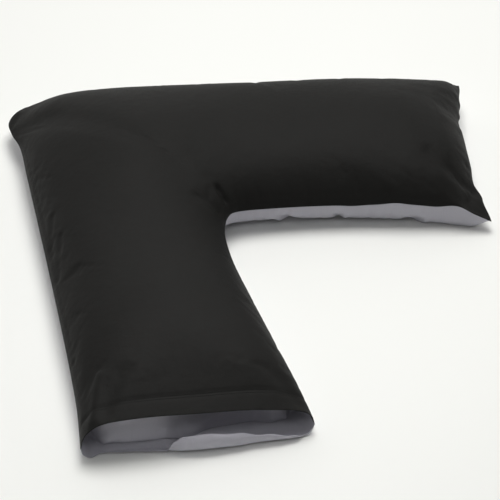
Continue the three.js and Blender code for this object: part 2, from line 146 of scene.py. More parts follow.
# Fineness of the cloth and of the seam lines
ROW_PITCH = 7.0
COLUMNS = 46
COLUMN_CROWDING = 0.45
SEAM_SAMPLES = 4000
POINTS_PER_SECTION = 8
SEWN_END_POINTS = 49
PAST_MOUTH = 80.0
TINY = 1e-9


# Small tools
def ease(t):
    """Rises smoothly from 0 to 1, level at both ends."""
    t = np.clip(t, 0, 1)
    return t * t * t * (t * (t * 6 - 15) + 10)


def dome(t):
    """Rises from 0 to 1 along a quarter of a circle."""
    t = np.clip(t, 0, 1)
    return np.sqrt(1 - (1 - t) ** 2)


def rounded(t):
    """Rises from 0 to 1 along half a parabola."""
    return 1 - (1 - np.clip(t, 0, 1)) ** 2


def unit(vectors):
    return vectors / np.maximum(np.linalg.norm(vectors, axis=-1, keepdims=True), TINY)


def lengths_along(line):
    """The length of a line up to each of its points."""
    return np.concatenate([[0], np.cumsum(np.linalg.norm(np.diff(line, axis=0), axis=1))])


def point_at(length, lengths, line):
    return np.array([np.interp(length, lengths, line[:, k]) for k in range(line.shape[1])])


def table_value(table, column, across):
    """A value from a table, eased between its rows."""
    keys = np.array([row["across"] for row in table], float)
    values = np.array([row[column] for row in table], float)
    i = np.clip(np.searchsorted(keys, across, side="left"), 1, len(keys) - 1)
    t = ease((across - keys[i - 1]) / (keys[i] - keys[i - 1]))
    return values[i - 1] + (values[i] - values[i - 1]) * t


def section_values(column, rows):
    return np.interp(rows, np.arange(LAST_ROW + 1), [section[column] for section in SECTIONS])


def seam_points(side, rows):
    """Points on a side seam: a curve through the sections' points, as even as their spacing."""
    knots = np.array([section[side] for section in SECTIONS], float)
    padded = np.vstack([2 * knots[0] - knots[1], knots, 2 * knots[-1] - knots[-2]])
    i = np.minimum(np.floor(rows).astype(int), LAST_ROW - 1)
    t = (rows - i)[:, None]
    p0, p1, p2, p3 = (padded[i + k] for k in range(4))
    steps = (p1 - p0, p2 - p1, p3 - p2)
    d0, d1, d2 = (np.sqrt(np.linalg.norm(step, axis=1))[:, None] for step in steps)
    slope1 = ((p1 - p0) / d0 - (p2 - p0) / (d0 + d1) + (p2 - p1) / d1) * d1
    slope2 = ((p2 - p1) / d1 - (p3 - p1) / (d1 + d2) + (p3 - p2) / d2) * d1
    cubic = 2 * p1 - 2 * p2 + slope1 + slope2
    square = -3 * p1 + 3 * p2 - 2 * slope1 - slope2
    return ((cubic * t + square) * t + slope1) * t + p1


def heaped(heaps, xy):
    """The summed height of soft round heaps at each place."""
    height = 0
    for heap in heaps:
        away = np.hypot(xy[..., 0] - heap["at"][0], xy[..., 1] - heap["at"][1]) / heap["radius"]
        height = height + heap["height"] * np.exp(-away * away)
    return height


def distance_to(line, xy):
    """The distance in plan from each point to a line of straight pieces."""
    nearest = np.full(xy.shape[:-1], np.inf)
    for a, b in zip(line[:-1], line[1:]):
        run = b - a
        t = np.clip(((xy - a) @ run) / max(run @ run, TINY), 0, 1)
        away = xy - a - t[..., None] * run
        nearest = np.minimum(nearest, np.hypot(away[..., 0], away[..., 1]))
    return nearest


def pressed(creases, xy):
    """The summed depth of soft straight creases at each place."""
    depth = np.zeros(xy.shape[:-1])
    for crease in creases:
        line = np.array([crease["start"], crease["end"]], float)
        away = distance_to(line, xy) / crease["width"]
        depth += crease["depth"] * np.exp(-away * away)
    return depth


def outward(points, panel):
    """The normals of a grid of points on a panel, out of the pillow."""
    along = np.gradient(points, axis=0)
    across = np.gradient(points, axis=1)
    upward = unit(np.cross(across, along))
    return upward if panel == "front" else -upward


# Shape of the filled case
def place(rows, across):
    """The sheet in the middle of the pillow that the seams lie on, as an array of rows by columns."""
    outer = seam_points("outer", rows)[:, None, :]
    inner = seam_points("inner", rows)[:, None, :]
    a = across[None, :, None]
    sheet = outer * (1 - a) + inner * a
    ends = SECTIONS[-1]
    straight_end = np.array(ends["outer"], float) * (1 - a) + np.array(ends["inner"], float) * a
    pull = ease(1 - np.linalg.norm(sheet - straight_end, axis=2) / END_FADE)
    pull = pull * (rows > LAST_ROW - END_SECTIONS)[:, None]
    sheet[:, :, 0] -= pull * table_value(SEWN_END, "drawn_in", across)[None, :]
    lift = pull * table_value(SEWN_END, "lift", across)[None, :]
    sheet[:, :, 2] += lift + heaped(SEAM_WAVES, sheet[:, :, :2])
    return sheet


def seam_line(start, end, across):
    rows = np.linspace(start, end, int((end - start) * POINTS_PER_SECTION) + 1)
    return place(rows, np.array([float(across)]))[:, 0, :2]


def past_mouth(line):
    return np.vstack([line[0] - np.array([0.0, PAST_MOUTH]), line])


SEAM_LINES = dict(
    left=past_mouth(seam_line(0, CORNER_ROW, 0)),
    back=seam_line(CORNER_ROW, LAST_ROW, 0),
    inner=past_mouth(seam_line(0, LAST_ROW, 1)),
    end=place(np.array([float(LAST_ROW)]), np.linspace(0, 1, SEWN_END_POINTS))[0, :, :2],
)


class Layout:
    """The places of a grid of cloth points, with what its shape depends on."""

    def __init__(self, rows, across):
        self.rows = rows
        self.across = across
        self.sheet = place(rows, across)
        self.xy = self.sheet[:, :, :2]
        self.seam = self.sheet[:, :, 2]
        self.to = {name: distance_to(line, self.xy) for name, line in SEAM_LINES.items()}
        self.crown = section_values("crown", rows)[:, None]
        self.shoulder = section_values("shoulder", rows)[:, None]
        self.under = section_values("under", rows)[:, None]
        self.tuck = section_values("tuck", rows)[:, None]
        self.sewn = np.zeros(self.seam.shape, bool)
        self.sewn[:, across <= 0] = True
        self.sewn[:, across >= 1] = True
        self.sewn[rows >= LAST_ROW, :] = True
        self.to_seam = np.where(self.sewn, 0, np.minimum.reduce(list(self.to.values())))

    def fullness(self, over, panel):
        """How full a panel is at each point, from 0 at the seams to 1."""
        full = np.ones(self.seam.shape)
        for name, distance in self.to.items():
            full = full * dome(distance / over[name])
        for ear in EARS:
            inwards = (self.xy - np.array(ear["tip"])) @ np.array(ear["inward"])
            reach, fills_over = ear[panel]
            full = full * rounded((inwards - reach) / fills_over)
        return np.where(self.sewn, 0, full)

    def surface(self, panel):
        """The smooth outside of a panel."""
        layer = SEAM_LAYER * dome(self.to_seam / SEAM_ROUNDING)
        if panel == "front":
            end = table_value(SEWN_END, "shoulder", self.across)[None, :]
            over = dict(left=self.shoulder, back=self.shoulder, inner=self.shoulder, end=end)
            crown = self.crown + heaped(LUMPS, self.xy)
            height = self.seam + layer + self.fullness(over, panel) * crown
        else:
            end = self.under + (self.tuck + END_EXTRA_TUCK - self.under) * self.across[None, :]
            over = dict(left=self.under, back=self.under, inner=self.tuck, end=end)
            height = (self.seam - layer) * (1 - self.fullness(over, panel))
        return np.dstack([self.xy, height])

    def creased(self, panel):
        """The outside of a panel with its creases."""
        points = self.surface(panel)
        depth = pressed([crease for crease in CREASES if crease["panel"] == panel], self.xy)
        depth *= ease(self.to_seam / CREASE_FADE)
        points = points - outward(points, panel) * depth[..., None]
        points[..., 2] = np.maximum(points[..., 2], 0)
        return points


def even_rows():
    """Rows spaced evenly along the outer seam."""
    fine = np.linspace(0, LAST_ROW, SEAM_SAMPLES)
    lengths = lengths_along(seam_points("outer", fine))
    count = int(round(lengths[-1] / ROW_PITCH))
    return np.interp(np.linspace(0, lengths[-1], count + 1), lengths, fine)


def crowded_columns(count):
    """Columns that stand closer together near both side seams."""
    t = np.linspace(0, 1, count + 1)
    return t * (1 - COLUMN_CROWDING) + (1 - np.cos(math.pi * t)) / 2 * COLUMN_CROWDING


def halved(values):
    """Values with the middle of each two neighbours put between them."""
    out = np.empty(len(values) * 2 - 1)
    out[0::2] = values
    out[1::2] = (values[:-1] + values[1:]) / 2
    return out


def finer(field, axis):
    """A field on a grid with a new value put smoothly between each two old ones."""
    f = np.moveaxis(field, axis, 0)
    padded = np.concatenate([2 * f[:1] - f[1:2], f, 2 * f[-1:] - f[-2:-1]])
    out = np.empty((len(f) * 2 - 1,) + f.shape[1:])
    out[0::2] = f
    out[1::2] = (-padded[:-3] + 9 * padded[1:-2] + 9 * padded[2:-1] - padded[3:]) / 16
    return np.moveaxis(out, 0, axis)


# Objects
def metres(points):
    """Millimetres from the corner of the V to metres in the part's frame."""
    return (np.asarray(points, float) - REST_POINT) * MM


def linked(name, data):
    """A new object in the scene."""
    obj = bpy.data.objects.new(name, data)
    bpy.context.scene.collection.objects.link(obj)
    return obj


def new_object(name, points, faces):
    mesh = bpy.data.meshes.new(name)
    mesh.from_pydata([tuple(p) for p in metres(points)], [], [tuple(int(i) for i in f) for f in faces])
    mesh.update()
    mesh.polygons.foreach_set("use_smooth", [True] * len(mesh.polygons))
    return linked(name, mesh)


def grid_faces(rows, columns, turned=False):
    """Faces of a grid whose points are numbered row after row."""
    i, j = np.meshgrid(np.arange(rows - 1), np.arange(columns - 1), indexing="ij")
    a = (i * columns + j).ravel()
    faces = np.stack([a, a + 1, a + columns + 1, a + columns], axis=1)
    return faces[:, ::-1] if turned else faces


# Cloth simulation of the filled case. A negative shrink lets the cloth stretch a little.
SIM_FRAMES = 20
SIM_CAP = 6.0
HELD_BEHIND_RIM = 60
HELD_UNDER_HEIGHT = 1.5
CLOTH_SETTINGS = dict(
    quality=6,
    mass=0.25,
    tension_stiffness=25,
    compression_stiffness=25,
    shear_stiffness=12,
    bending_stiffness=0.35,
    vertex_group_mass="held",
    pin_stiffness=1.0,
    use_pressure=True,
    uniform_pressure_force=4.0,
    shrink_min=-0.003,
)


def closed_case(front, back):
    """Points and faces of both panels as one closed mesh, and which points of the back are its own."""
    rows, columns = front.shape[:2]
    own = np.ones((rows, columns), bool)
    own[:, 0] = own[:, -1] = False
    own[-1, :] = False
    front_ids = np.arange(rows * columns).reshape(rows, columns)
    back_ids = front_ids.copy()
    back_ids[own] = rows * columns + np.arange(own.sum())
    front_faces = list(grid_faces(rows, columns))
    back_faces = list(back_ids.ravel()[grid_faces(rows, columns, turned=True)])
    mouth = [
        (back_ids[0, j], back_ids[0, j + 1], front_ids[0, j + 1], front_ids[0, j])
        for j in range(1, columns - 2)
    ]
    return np.vstack([front.reshape(-1, 3), back[own]]), front_faces + back_faces + mouth, own


def settled_points(obj):
    """The points of an object after its cloth has settled, in millimetres."""
    cloth = obj.modifiers.new("cloth", "CLOTH")
    for key, value in CLOTH_SETTINGS.items():
        setattr(cloth.settings, key, value)
    cloth.settings.effector_weights.gravity = 0
    cloth.collision_settings.use_collision = False
    cloth.point_cache.frame_start = 1
    cloth.point_cache.frame_end = SIM_FRAMES
    scene = bpy.context.scene
    for number in range(1, SIM_FRAMES + 1):
        scene.frame_set(number)
    settled = obj.evaluated_get(bpy.context.evaluated_depsgraph_get()).to_mesh()
    flat = np.empty(len(settled.vertices) * 3)
    settled.vertices.foreach_get("co", flat)
    scene.frame_set(1)
    return flat.reshape(-1, 3) / MM + REST_POINT


def simulate(front, back, layout):
    """How the filled case settles under pressure, as moves of the front and of the back."""
    points, faces, own = closed_case(front, back)
    obj = new_object("settling", points, faces)
    held_front = ~own | (layout.xy[..., 1] < RIM_Y + HELD_BEHIND_RIM)
    held_back = held_front | (back[..., 2] < HELD_UNDER_HEIGHT)
    held = np.concatenate([held_front.ravel(), held_back[own]])
    pins = obj.vertex_groups.new(name="held")
    pins.add([int(i) for i in np.nonzero(held)[0]], 1.0, "REPLACE")

    moves = settled_points(obj) - points
    bpy.data.objects.remove(obj, do_unlink=True)
    size = np.linalg.norm(moves, axis=1, keepdims=True)
    moves = moves * (SIM_CAP * np.tanh(size / SIM_CAP) / np.maximum(size, TINY))
    moves[held] = 0
    front_moves = moves[:own.size].reshape(front.shape)
    back_moves = np.zeros_like(front_moves)
    back_moves[own] = moves[own.size:]
    return front_moves, back_moves


# Short puckers that run in from the seams, with the pillow on the given side of each line's run
PUCKERS = [
    dict(seam="left", side=-1, pitch=24, length=(12, 38), depth=(0.15, 0.7), width=3.6, turn=(0.7, 1.3)),
    dict(seam="back", side=-1, pitch=24, length=(12, 32), depth=(0.15, 0.7), width=3.6, turn=(-0.6, 0.6)),
    dict(seam="inner", side=1, pitch=20, length=(12, 36), depth=(0.2, 0.9), width=3.4, turn=(-0.6, 0.6)),
    dict(seam="end", side=-1, pitch=18, length=(16, 55), depth=(0.3, 1.2), width=4.2, turn=(-0.6, 0.6)),
]
PUCKER_SEEDS = dict(front=11, back=23)
PUCKER_STRENGTH = dict(front=1, back=2.4)
PUCKER_WIDTHS = (0.8, 1.5)
PUCKER_PITCHES = (0.5, 1.6)
PUCKER_REACH = 75
PUCKER_FADE = 1.15
PUCKER_SEAM_FADE = 5
LOOK_AHEAD = 2


def pucker(rng, kind, start, ahead, strength, xy):
    """The depth of one pucker at each place. It runs in from the seam at its start."""
    inwards = unit(np.array([-ahead[1], ahead[0]]))
    turn = rng.uniform(*kind["turn"])
    turned = np.array([
        inwards[0] * math.cos(turn) - inwards[1] * math.sin(turn),
        inwards[0] * math.sin(turn) + inwards[1] * math.cos(turn),
    ])
    length = rng.uniform(*kind["length"])
    end = start + kind["side"] * turned * length
    amount = rng.uniform(*kind["depth"]) * strength
    width = kind["width"] * rng.uniform(*PUCKER_WIDTHS)
    away = distance_to(np.array([start, end]), xy) / width
    fade = np.linalg.norm(xy - start, axis=-1) / length
    return amount * np.exp(-away * away) * np.clip(PUCKER_FADE - fade, 0, 1)


def pucker_depth(layout, panel):
    """The summed depth of all puckers of a panel."""
    rng = random.Random(PUCKER_SEEDS[panel])
    depth = np.zeros(layout.seam.shape)
    for kind in PUCKERS:
        line = SEAM_LINES[kind["seam"]]
        lengths = lengths_along(line)
        near = layout.to[kind["seam"]] < PUCKER_REACH
        at = rng.uniform(0, kind["pitch"])
        while at < lengths[-1]:
            start = point_at(at, lengths, line)
            ahead = point_at(at + LOOK_AHEAD, lengths, line) - start
            depth[near] += pucker(rng, kind, start, ahead, PUCKER_STRENGTH[panel], layout.xy[near])
            at += kind["pitch"] * rng.uniform(*PUCKER_PITCHES)
    return depth * ease(layout.to_seam / PUCKER_SEAM_FADE)


# Turned hem at the mouth, with two rows of stitching behind it
HEM_RAISED = 0.7
HEM_STEP = 2.4
HEM_SEAM_FADE = 8
STITCH_LINES = (HEM_DEPTH, HEM_DEPTH + 4.5)
GROOVE_DEPTH = 1.1
GROOVE_WIDTH = 1.7
RIPPLE_DEPTH = 0.45
RIPPLE_REACH = 9
RIPPLE_LENGTH = 5.3
RIPPLE_DRIFT = 1.4
RIPPLE_DRIFT_LENGTH = 23.0
RESTS_UNDER = 1


def hem_relief(layout):
    """How far the hem stands proud, with the grooves and ripples that its stitching pulls in."""
    x = layout.xy[..., 0]
    depth_in = layout.xy[..., 1] - RIM_Y
    band = ease((HEM_DEPTH + HEM_STEP / 2 - depth_in) / HEM_STEP)
    groove = sum(np.exp(-((depth_in - line) / GROOVE_WIDTH) ** 2) for line in STITCH_LINES)
    rippled = 0.5 + 0.5 * np.sin(x / RIPPLE_LENGTH + RIPPLE_DRIFT * np.sin(x / RIPPLE_DRIFT_LENGTH))
    near = np.exp(-((depth_in - HEM_DEPTH) / RIPPLE_REACH) ** 2)
    return HEM_RAISED * band - GROOVE_DEPTH * groove - RIPPLE_DEPTH * rippled * near


def front_shape(layout, moves):
    points = layout.creased("front") + moves
    hem = hem_relief(layout) * ease(layout.to_seam / HEM_SEAM_FADE)
    relief = hem - pucker_depth(layout, "front")
    return points + outward(points, "front") * relief[..., None]


def back_shape(layout, moves):
    points = layout.creased("back") + moves
    relief = -pucker_depth(layout, "back") * (points[..., 2] > RESTS_UNDER)
    points = points + outward(points, "back") * relief[..., None]
    points[..., 2] = np.maximum(points[..., 2], 0.0)
    return points


# The grey lip of the open end, from left to right: where it leaves the case, its length, how many degrees it
# rolls up, and how far its rim is lifted
LIP = [
    dict(across=0, start=-744, length=9, roll=0, lift=0),
    dict(across=0.03, start=-742, length=11, roll=0, lift=0),
    dict(across=0.1, start=-738, length=12, roll=0, lift=6),
    dict(across=0.2, start=-738, length=16, roll=0, lift=6),
    dict(across=0.3, start=-739, length=20, roll=3, lift=5),
    dict(across=0.36, start=-744, length=19, roll=10, lift=4),
    dict(across=0.39, start=-752, length=31, roll=128, lift=0),
    dict(across=0.43, start=-754, length=44, roll=146, lift=0),
    dict(across=0.52, start=-754.5, length=49, roll=140, lift=0),
    dict(across=0.65, start=-757, length=41.5, roll=140, lift=0),
    dict(across=0.78, start=-756, length=30, roll=115, lift=0),
    dict(across=0.9, start=-756, length=22, roll=80, lift=0),
    dict(across=0.96, start=-750, length=12, roll=10, lift=0),
    dict(across=1, start=-748, length=8, roll=0, lift=0),
]
LIP_WAVES = [
    dict(height=0.7, turns=31, slant=2, shift=0),
    dict(height=0.5, turns=67, slant=0, shift=1),
]
LIP_ROWS = 18
LIP_REACHES_IN = 19
LEAST_ROLL = 0.5
WAVE_SIDE_FADE = 0.06
WAVE_UP = 0.6
WAVE_OUT = 0.8
RIM_TURNS = np.radians([155, 125, 90, 55, 25])

# The ruffle inside the lip, in front of the flap's foot, at the left of the mouth
SWELL = 5.5
SWELL_ACROSS = (0.07, 0.44)
SWELL_SIDE_FADE = 0.08
SWELL_Y = (-753, -722)
SWELL_FADES = (11, 12)

MOUTH_SECTIONS = 3
MOUTH_SAMPLES = 120


class Mouth:
    """Seams and flat base of the case near its open end, by their y."""

    rows = np.linspace(0, MOUTH_SECTIONS, MOUTH_SAMPLES)
    outer = seam_points("outer", rows)
    inner = seam_points("inner", rows)

    @classmethod
    def at(cls, y, across):
        def read(line, k):
            return np.interp(y, line[:, 1], line[:, k])

        x = read(cls.outer, 0) * (1 - across) + read(cls.inner, 0) * across
        seam = read(cls.outer, 2) * (1 - across) + read(cls.inner, 2) * across
        row = np.interp(y, cls.outer[:, 1], cls.rows)
        from_left = x - read(cls.outer, 0)
        from_right = read(cls.inner, 0) - x
        layer = SEAM_LAYER * dome(np.minimum(from_left, from_right) / SEAM_ROUNDING)
        full = dome(from_left / section_values("under", row)) * dome(from_right / section_values("tuck", row))
        return x, (seam - layer) * (1 - full)


def lip_wave(across, along):
    """The small waves of the lip, which grow towards its rim."""
    wave = sum(w["height"] * np.sin(across * w["turns"] + w["slant"] * along + w["shift"]) for w in LIP_WAVES)
    return wave * along * ease(across / WAVE_SIDE_FADE) * ease((1 - across) / WAVE_SIDE_FADE)


def lip_grid(across):
    """The outside of the lip, from its rim inwards."""
    along = np.linspace(1, 0, LIP_ROWS, endpoint=False)[:, None]
    across = across[None, :]
    roll = np.radians(np.maximum(LEAST_ROLL, table_value(LIP, "roll", across)))
    radius = table_value(LIP, "length", across) / roll
    y = table_value(LIP, "start", across) - radius * np.sin(roll * along)
    x, base = Mouth.at(y, across + 0 * along)
    lift = table_value(LIP, "lift", across) * along * along
    wave = lip_wave(across, along)
    z = base + radius * (1 - np.cos(roll * along)) + lift + WAVE_UP * wave
    return np.dstack([x, y - WAVE_OUT * wave, np.maximum(z, 0)])


def lip_swell(across, y):
    """How far the inside of the lip is ruffled up."""
    left, right = SWELL_ACROSS
    front, behind = SWELL_Y
    front_fade, back_fade = SWELL_FADES
    sideways = ease((across - left) / SWELL_SIDE_FADE) * ease((right - across) / SWELL_SIDE_FADE)
    return SWELL * sideways * ease((y - front) / front_fade) * ease((behind - y) / back_fade)


def with_rim(outside, inner_rows, panel, swell=0.0):
    """Adds the rounded rim and the inside of the cloth in front of a grid that starts at the rim."""
    out = outward(outside, panel)
    inside = outside - out * (CLOTH + np.broadcast_to(swell, outside.shape[:2])[..., None])
    forward = unit(outside[0] - outside[1])
    middle = outside[0] - out[0] * CLOTH / 2
    rim = [
        middle + out[0] * math.cos(turn) * CLOTH / 2 + forward * math.sin(turn) * CLOTH / 2
        for turn in RIM_TURNS
    ]
    return np.concatenate([inside[inner_rows::-1], np.array(rim), outside])


# The end of the filling, which bulges the flap's foot forward
FILLING_END = [
    dict(across=0, bulge=0),
    dict(across=0.035, bulge=0),
    dict(across=0.13, bulge=20),
    dict(across=0.22, bulge=24),
    dict(across=0.35, bulge=25),
    dict(across=0.46, bulge=22),
    dict(across=0.6, bulge=9),
    dict(across=0.75, bulge=6),
    dict(across=0.84, bulge=13),
    dict(across=0.9, bulge=10),
    dict(across=0.955, bulge=0),
    dict(across=1, bulge=0),
]
BULGE_POWER = 1.3

# Folds of the tuck-in flap, by share of its width and of its height. A negative depth stands forward.
FLAP_FOLDS = [
    dict(start=(0.045, 1.0), end=(0.065, 0.2), width=0.028, depth=9),
    dict(start=(0.12, 0.95), end=(0.22, 0.3), width=0.04, depth=-4),
    dict(start=(0.12, 0.75), end=(0.36, 0.35), width=0.045, depth=3),
    dict(start=(0.26, 0.55), end=(0.5, 0.1), width=0.05, depth=-4),
    dict(start=(0.5, 0.45), end=(0.8, 0.3), width=0.08, depth=9),
    dict(start=(0.5, 0.85), end=(0.72, 0.5), width=0.05, depth=-3),
    dict(start=(0.82, 0.1), end=(0.86, 0.9), width=0.04, depth=-4),
    dict(start=(0.928, 0.0), end=(0.935, 0.95), width=0.015, depth=20),
    dict(start=(0.965, 0.1), end=(0.955, 0.9), width=0.02, depth=-3),
]
FLAP_SET_BACK = 40
FLAP_THICKNESS = 1.2
FLAP_SIDES = (0.012, 0.988)
FLAP_PROPORTION = 0.35
FLAP_CLEARANCE = 2.0
FLAP_LEAD = 1.0
FLAP_COLUMNS = 110
FLAP_LEVELS = 36
FOLD_TOP_FADE = 0.12
FOLD_FOOT_FADE = 0.1
ROW_STEP = 0.01


def ceiling(y, across):
    """The line of the case's front that stands at y on the outer seam."""
    row = float(np.interp(y, Mouth.outer[:, 1], Mouth.rows))
    return Layout(np.array([row - ROW_STEP, row, row + ROW_STEP]), across).creased("front")[1]


def fold_depth(across, down):
    """How far the folds press the flap back."""
    shape = np.array([1, FLAP_PROPORTION])
    places = np.dstack(np.broadcast_arrays(across, down * FLAP_PROPORTION))
    folds = [dict(fold, start=fold["start"] * shape, end=fold["end"] * shape) for fold in FLAP_FOLDS]
    return pressed(folds, places) * (ease(down / FOLD_TOP_FADE) * ease((1 - down) / FOLD_FOOT_FADE))


def flap_grid():
    """The face of the flap that looks out of the mouth, from its top edge down."""
    across = np.linspace(*FLAP_SIDES, FLAP_COLUMNS)
    down = np.linspace(0, 1, FLAP_LEVELS)[:, None]
    top_y = RIM_Y + FLAP_SET_BACK
    top = ceiling(top_y, across)
    bulge = table_value(FILLING_END, "bulge", across)
    foot_x, foot_z = Mouth.at(top_y - bulge, across)
    foot_z = foot_z + lip_swell(across, top_y - bulge)
    x = top[:, 0] * (1 - down) + foot_x * down
    y = top_y - FLAP_LEAD - bulge * down ** BULGE_POWER + fold_depth(across, down)
    z = (top[:, 2] - FLAP_CLEARANCE) * (1 - down) + (foot_z + FLAP_CLEARANCE) * down
    return np.dstack([x, y, z])


def flap_points():
    """The flap as one closed strip: its hidden side, its top edge, its face and its foot."""
    face = flap_grid()
    back = face + np.array([0.0, FLAP_THICKNESS, 0.0])
    half = np.array([0.0, 0.0, FLAP_THICKNESS / 2])
    top = (face[:1] + back[:1]) / 2 + half
    foot = (face[-1:] + back[-1:]) / 2 - half
    return np.concatenate([back[::-1], top, face, foot, back[-1:]])


# Stitches of the hem: each is a short round thread of a few rings of points
STITCH_PITCH = 3.2
STITCH_LENGTH = 2.3
STITCH_RADIUS = 0.42
STITCH_TIP = 0.02
STITCH_RAISED = 0.15
STITCH_ARCH = 0.2
STITCH_RINGS = (0.0, 0.25, 0.5, 0.75, 1.0)
STITCH_SIDES = 6
HEM_ROWS = 60


def line_across(outside, y):
    """The line on a grid of points that stands at y, column by column."""
    line = []
    for j in range(outside.shape[1]):
        column = outside[:HEM_ROWS, j]
        column = column[np.argsort(column[:, 1])]
        line.append([np.interp(y, column[:, 1], column[:, k]) for k in (0, 1, 2)])
    return np.array(line)


def stitch_points(start, end):
    run = unit(end - start)
    side = np.cross(run, (0.0, 0.0, 1.0))
    up = np.cross(side, run)
    points = []
    for t in STITCH_RINGS:
        radius = STITCH_RADIUS * math.sqrt(max(STITCH_TIP, 1 - (2 * t - 1) ** 2))
        raised = STITCH_RAISED + STITCH_ARCH * math.sin(math.pi * t)
        middle = start * (1 - t) + end * t + up * raised
        for k in range(STITCH_SIDES):
            turn = 2 * math.pi * k / STITCH_SIDES
            points.append(middle + radius * (side * math.cos(turn) + up * math.sin(turn)))
    return points


def stitch_faces(first):
    """Faces of a stitch whose points are numbered from first on."""
    last_ring = first + (len(STITCH_RINGS) - 1) * STITCH_SIDES
    faces = []
    for ring in range(first, last_ring, STITCH_SIDES):
        for k in range(STITCH_SIDES):
            a = ring + k
            b = ring + (k + 1) % STITCH_SIDES
            faces.append((a, b, b + STITCH_SIDES, a + STITCH_SIDES))
    faces.append(tuple(first + k for k in range(STITCH_SIDES))[::-1])
    faces.append(tuple(last_ring + k for k in range(STITCH_SIDES)))
    return faces


def stitch_rows(outside):
    """Points and faces of the stitches, which lie in the grooves of the hem."""
    points, faces = [], []
    for depth_in in STITCH_LINES:
        path = line_across(outside, RIM_Y + depth_in)
        lengths = lengths_along(path)
        at = STITCH_PITCH
        while at < lengths[-1] - STITCH_PITCH:
            faces += stitch_faces(len(points))
            points += stitch_points(point_at(at, lengths, path), point_at(at + STITCH_LENGTH, lengths, path))
            at += STITCH_PITCH
    return points, faces


# Where each point of cloth lay before it was filled, for the weave
def flattened(points):
    """The cloth laid out flat, row by row, about its middle column."""
    middle = points.shape[1] // 2
    steps = np.linalg.norm(np.diff(points, axis=1), axis=2)
    along = np.concatenate([np.zeros((len(points), 1)), np.cumsum(steps, axis=1)], axis=1)
    along -= along[:, middle:middle + 1]
    chord = unit(points[:, -1, :2] - points[:, 0, :2])
    return points[:, middle, None, :2] + chord[:, None, :] * along[..., None]


def give_weave(obj, flat):
    layer = obj.data.uv_layers.new(name="cloth")
    corners = np.empty(len(obj.data.loops), int)
    obj.data.loops.foreach_get("vertex_index", corners)
    layer.data.foreach_set("uv", (flat.reshape(-1, 2) * MM)[corners].ravel())


def cloth_object(name, points, turned=False):
    rows, columns = points.shape[:2]
    obj = new_object(name, points.reshape(-1, 3), grid_faces(rows, columns, turned=turned))
    give_weave(obj, flattened(points))
    return obj


# Materials
MIX_A, MIX_B, MIX_RESULT = 6, 7, 2


class Nodes:
    """A short way to add shader nodes and to join them."""

    def __init__(self, name):
        self.material = bpy.data.materials.new(name)
        self.material.use_nodes = True
        self.tree = self.material.node_tree
        self.tree.nodes.clear()

    def add(self, kind, inputs=None, **settings):
        node = self.tree.nodes.new(kind)
        for key, value in settings.items():
            setattr(node, key, value)
        for key, value in (inputs or {}).items():
            self.put(node.inputs[key], value)
        return node

    def put(self, socket, value):
        if isinstance(value, bpy.types.NodeSocket):
            self.tree.links.new(value, socket)
        else:
            socket.default_value = value

    def math(self, operation, *values):
        node = self.add("ShaderNodeMath", operation=operation)
        for socket, value in zip(node.inputs, values):
            self.put(socket, value)
        return node.outputs[0]

    def mix(self, share, a, b):
        inputs = {"Factor": share, MIX_A: a, MIX_B: b}
        return self.add("ShaderNodeMix", inputs, data_type="RGBA").outputs[MIX_RESULT]

    def noise(self, vector, scale, detail, rough=0.5):
        inputs = {"Vector": vector, "Scale": scale, "Detail": detail, "Roughness": rough}
        return self.add("ShaderNodeTexNoise", inputs).outputs[0]

    def stretched(self, vector, scale):
        return self.add("ShaderNodeMapping", {"Vector": vector, "Scale": scale}).outputs[0]

    def finish(self, shader):
        out = self.add("ShaderNodeOutputMaterial")
        self.tree.links.new(shader, out.inputs["Surface"])
        return self.material


# Cotton: the thread's pitch in metres, and how many slubs, patches and creases there are to a metre
THREAD = 0.00055
SLUBS_ACROSS, SLUBS_ALONG = 900, 60
PATCHES = 14.0
CREASING = 45.0

# How far slubs, patches and threads change the tone, the relief and the roughness
SLUB_TONE, PATCH_TONE, THREAD_TONE, TONE_SHIFT = 0.42, 0.55, 0.1, 0.2
SLUB_RELIEF, THREAD_RELIEF, SLUB_ROUGHNESS = 0.9, 0.6, 0.1
CREASING_HEIGHT = 0.004
THREAD_HEIGHT, THREAD_STRENGTH = 0.00012, 0.35

BLACK_COTTON = dict(dark=(0.0102, 0.01, 0.0095), light=(0.0145, 0.0142, 0.0135), gloss=0.075, smooth=0.46)
GREY_COTTON = dict(dark=(0.42, 0.413, 0.462), light=(0.495, 0.488, 0.541), gloss=0.2, smooth=0.8)

FLOOR_DARK, FLOOR_LIGHT = (0.86, 0.865, 0.845, 1), (0.885, 0.89, 0.872, 1)
FLOOR_PATCHES = 1.2


def plain_weave(n, uv):
    """The height of crossing threads, from -1 to 1."""
    axes = n.add("ShaderNodeSeparateXYZ", {"Vector": uv})
    turns = 2 * math.pi / THREAD
    warp = n.math("SINE", n.math("MULTIPLY", axes.outputs[0], turns))
    weft = n.math("SINE", n.math("MULTIPLY", axes.outputs[1], turns))
    return n.math("MULTIPLY", warp, weft)


